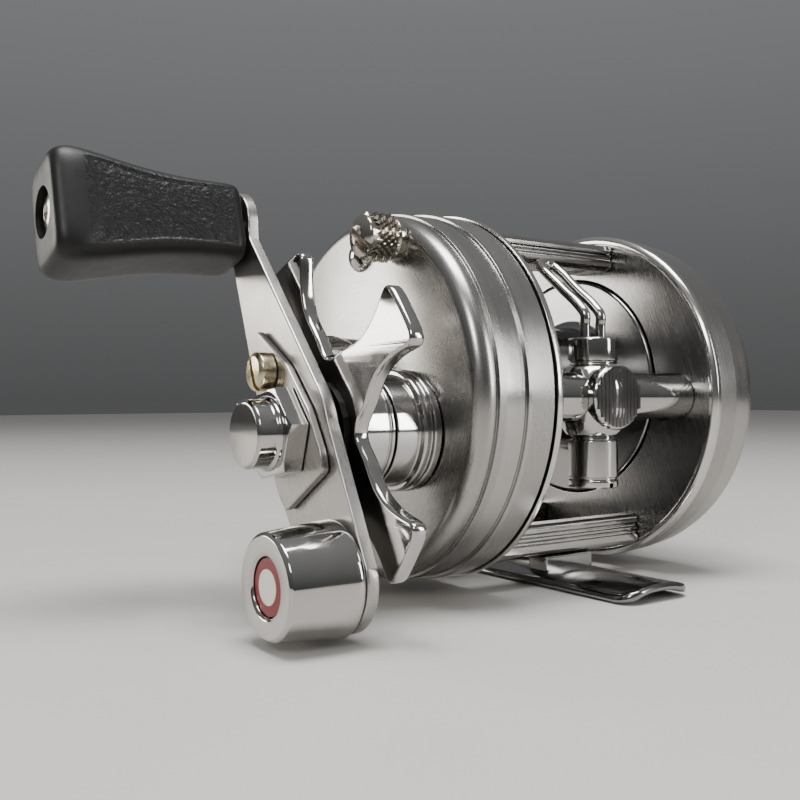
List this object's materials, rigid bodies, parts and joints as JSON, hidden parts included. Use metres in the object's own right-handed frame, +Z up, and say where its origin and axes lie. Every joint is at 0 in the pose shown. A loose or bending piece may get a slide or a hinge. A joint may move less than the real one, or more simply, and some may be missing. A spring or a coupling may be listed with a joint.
{
  "type": "baitcasting reel",
  "caption": "Small round baitcasting reel with a level wind, a star drag, a single power handle with counterweight, and a curved foot.",
  "frame": {"origin": "middle of the flat rod seat under the foot, midway between the side plates", "axes": "+X from the crank side to the tail side along the spool axis, -Y to the front where the line leaves, +Z up"},
  "size_m": [0.0973, 0.0577, 0.0543],
  "materials": {
    "satin_aluminium": "fine circular brushing, satin",
    "polished_aluminium": "turned and polished",
    "chrome": "bright plated, light wear",
    "brushed_steel": "brushed along its length",
    "nickelled_steel": "bright nickel plate",
    "plain_steel": "ground",
    "brass": "bright machined",
    "black_knob": "moulded with a leather grain",
    "black_nylon": "smooth moulded",
    "brake_fibre": "pressed fibre",
    "drag_leather": "oiled",
    "red_badge": "red enamel"
  },
  "bodies": {
    "frame": {"crank_side_plate": "polished_aluminium", "tail_side_plate": "polished_aluminium", "lower_front_bar": "brushed_steel", "lower_rear_bar": "brushed_steel", "back_pillar": "brushed_steel", "top_bar": "brushed_steel", "foot": "chrome", "foot_rivet_front": "nickelled_steel", "foot_rivet_rear": "nickelled_steel", "crank_cover": "satin_aluminium", "tail_cover": "satin_aluminium", "crank_boss": "chrome", "keeper_screw": "chrome", "tail_cover_screw_1": "nickelled_steel", "tail_cover_screw_2": "nickelled_steel", "tail_bearing_cap": "polished_aluminium", "crank_side_bearing": "plain_steel", "tail_side_bearing": "plain_steel", "brake_drum": "brass", "gear_bridge": "brushed_steel", "dog_pivot": "plain_steel", "level_wind_tube": "chrome", "yoke_spring_1": "plain_steel", "yoke_spring_2": "plain_steel"},
    "crank": {"drive_shaft": "plain_steel", "drive_cog": "brass", "ratchet_wheel": "plain_steel", "drag_washer_keyed": "plain_steel", "handle_spacer": "black_nylon", "handle_arm": "brushed_steel", "lock_plate": "brushed_steel", "lock_screw": "brass", "handle_nut": "chrome", "counterweight": "chrome", "counterweight_badge": "red_badge", "knob_spindle": "nickelled_steel"},
    "gear": {"main_gear": "brass", "drag_washer_leather": "drag_leather"},
    "star": {"star_wheel": "chrome"},
    "handle_knob": {"knob": "black_knob"},
    "spool_assembly": {"spool": "polished_aluminium", "spool_shaft": "plain_steel", "brake_pin": "plain_steel"},
    "upper_brake_block": {"brake_block_upper": "brake_fibre"},
    "lower_brake_block": {"brake_block_lower": "brake_fibre"},
    "yoke": {"pinion_yoke": "plain_steel"},
    "pinion_gear": {"pinion": "brass"},
    "button": {"free_spool_button": "chrome"},
    "worm": {"worm_shaft": "plain_steel", "worm_cog": "black_nylon"},
    "line_guide": {"line_guide_carriage": "chrome", "pawl_cap": "chrome", "guide_wire": "chrome"},
    "guide_pawl": {"pawl": "plain_steel"},
    "spool_tension_cap": {"tension_cap": "polished_aluminium"},
    "upper_thumbscrew": {"thumbscrew_top": "nickelled_steel"},
    "lower_thumbscrew": {"thumbscrew_bottom": "nickelled_steel"},
    "reverse_dog": {"anti_reverse_dog": "plain_steel"}
  },
  "joints": [
    {"name": "crank_turn", "type": "hinge", "parent": "frame", "child": "crank", "pos_m": [-0.043, -0.01038, 0.02048], "axis": [1, 0, 0], "continuous": true},
    {"name": "gear_turn", "type": "hinge", "parent": "frame", "child": "gear", "pos_m": [-0.0192, -0.01038, 0.02048], "axis": [1, 0, 0], "continuous": true},
    {"name": "star_turn", "type": "hinge", "parent": "crank", "child": "star", "pos_m": [-0.0395, -0.01038, 0.02048], "axis": [1, 0, 0], "range_deg": [-180, 180]},
    {"name": "knob_spin", "type": "hinge", "parent": "crank", "child": "handle_knob", "pos_m": [-0.056, 0.00494, 0.04558], "axis": [1, 0, 0], "continuous": true},
    {"name": "spool_turn", "type": "hinge", "parent": "frame", "child": "spool_assembly", "pos_m": [0, 0.0024, 0.0262], "axis": [1, 0, 0], "continuous": true},
    {"name": "upper_block_slide", "type": "slide", "parent": "spool_assembly", "child": "upper_brake_block", "axis": [0, 0, 1], "range_m": [-0.0025, 0.0008]},
    {"name": "lower_block_slide", "type": "slide", "parent": "spool_assembly", "child": "lower_brake_block", "axis": [0, 0, -1], "range_m": [-0.0025, 0.0008]},
    {"name": "button_press", "type": "slide", "parent": "frame", "child": "button", "axis": [0, -1, 0], "range_m": [0, 0.002], "stiffness_N_per_m": 400, "springref_m": -0.002},
    {"name": "yoke_lift", "type": "slide", "parent": "frame", "child": "yoke", "axis": [-1, 0, 0], "range_m": [0, 0.0012], "deforming": ["yoke_spring_1", "yoke_spring_2"]},
    {"name": "pinion_spin", "type": "hinge", "parent": "yoke", "child": "pinion_gear", "pos_m": [-0.02, 0.0024, 0.0262], "axis": [1, 0, 0], "continuous": true},
    {"name": "worm_turn", "type": "hinge", "parent": "frame", "child": "worm", "pos_m": [0, -0.01799, 0.02448], "axis": [1, 0, 0], "continuous": true},
    {"name": "line_guide_slide", "type": "slide", "parent": "frame", "child": "line_guide", "axis": [1, 0, 0], "range_m": [-0.0069, 0.0116]},
    {"name": "pawl_swivel", "type": "hinge", "parent": "line_guide", "child": "guide_pawl", "pos_m": [-0.00235, -0.01799, 0.01848], "axis": [0, 0, 1], "range_deg": [-40, 40]},
    {"name": "tension_cap_turn", "type": "hinge", "parent": "frame", "child": "spool_tension_cap", "pos_m": [-0.03, 0.0024, 0.0262], "axis": [1, 0, 0], "range_deg": [-180, 180]},
    {"name": "upper_thumbscrew_turn", "type": "hinge", "parent": "frame", "child": "upper_thumbscrew", "pos_m": [-0.03, -0.0076, 0.0445], "axis": [1, 0, 0], "range_deg": [-180, 180]},
    {"name": "lower_thumbscrew_turn", "type": "hinge", "parent": "frame", "child": "lower_thumbscrew", "pos_m": [-0.03, 0.0076, 0.0047], "axis": [1, 0, 0], "range_deg": [-180, 180]},
    {"name": "dog_swing", "type": "hinge", "parent": "frame", "child": "reverse_dog", "pos_m": [-0.0222, -0.00371, 0.00795], "axis": [1, 0, 0], "range_deg": [0, 14]}
  ],
  "couplings": [
    {"joint": "gear_turn", "follows": "crank_turn", "ratio": 1},
    {"joint": "spool_turn", "follows": "crank_turn", "ratio": -4.6},
    {"joint": "pinion_spin", "follows": "crank_turn", "ratio": -4.6},
    {"joint": "worm_turn", "follows": "crank_turn", "ratio": -1.6875},
    {"joint": "yoke_lift", "follows": "button_press", "ratio": 0.6}
  ]
}
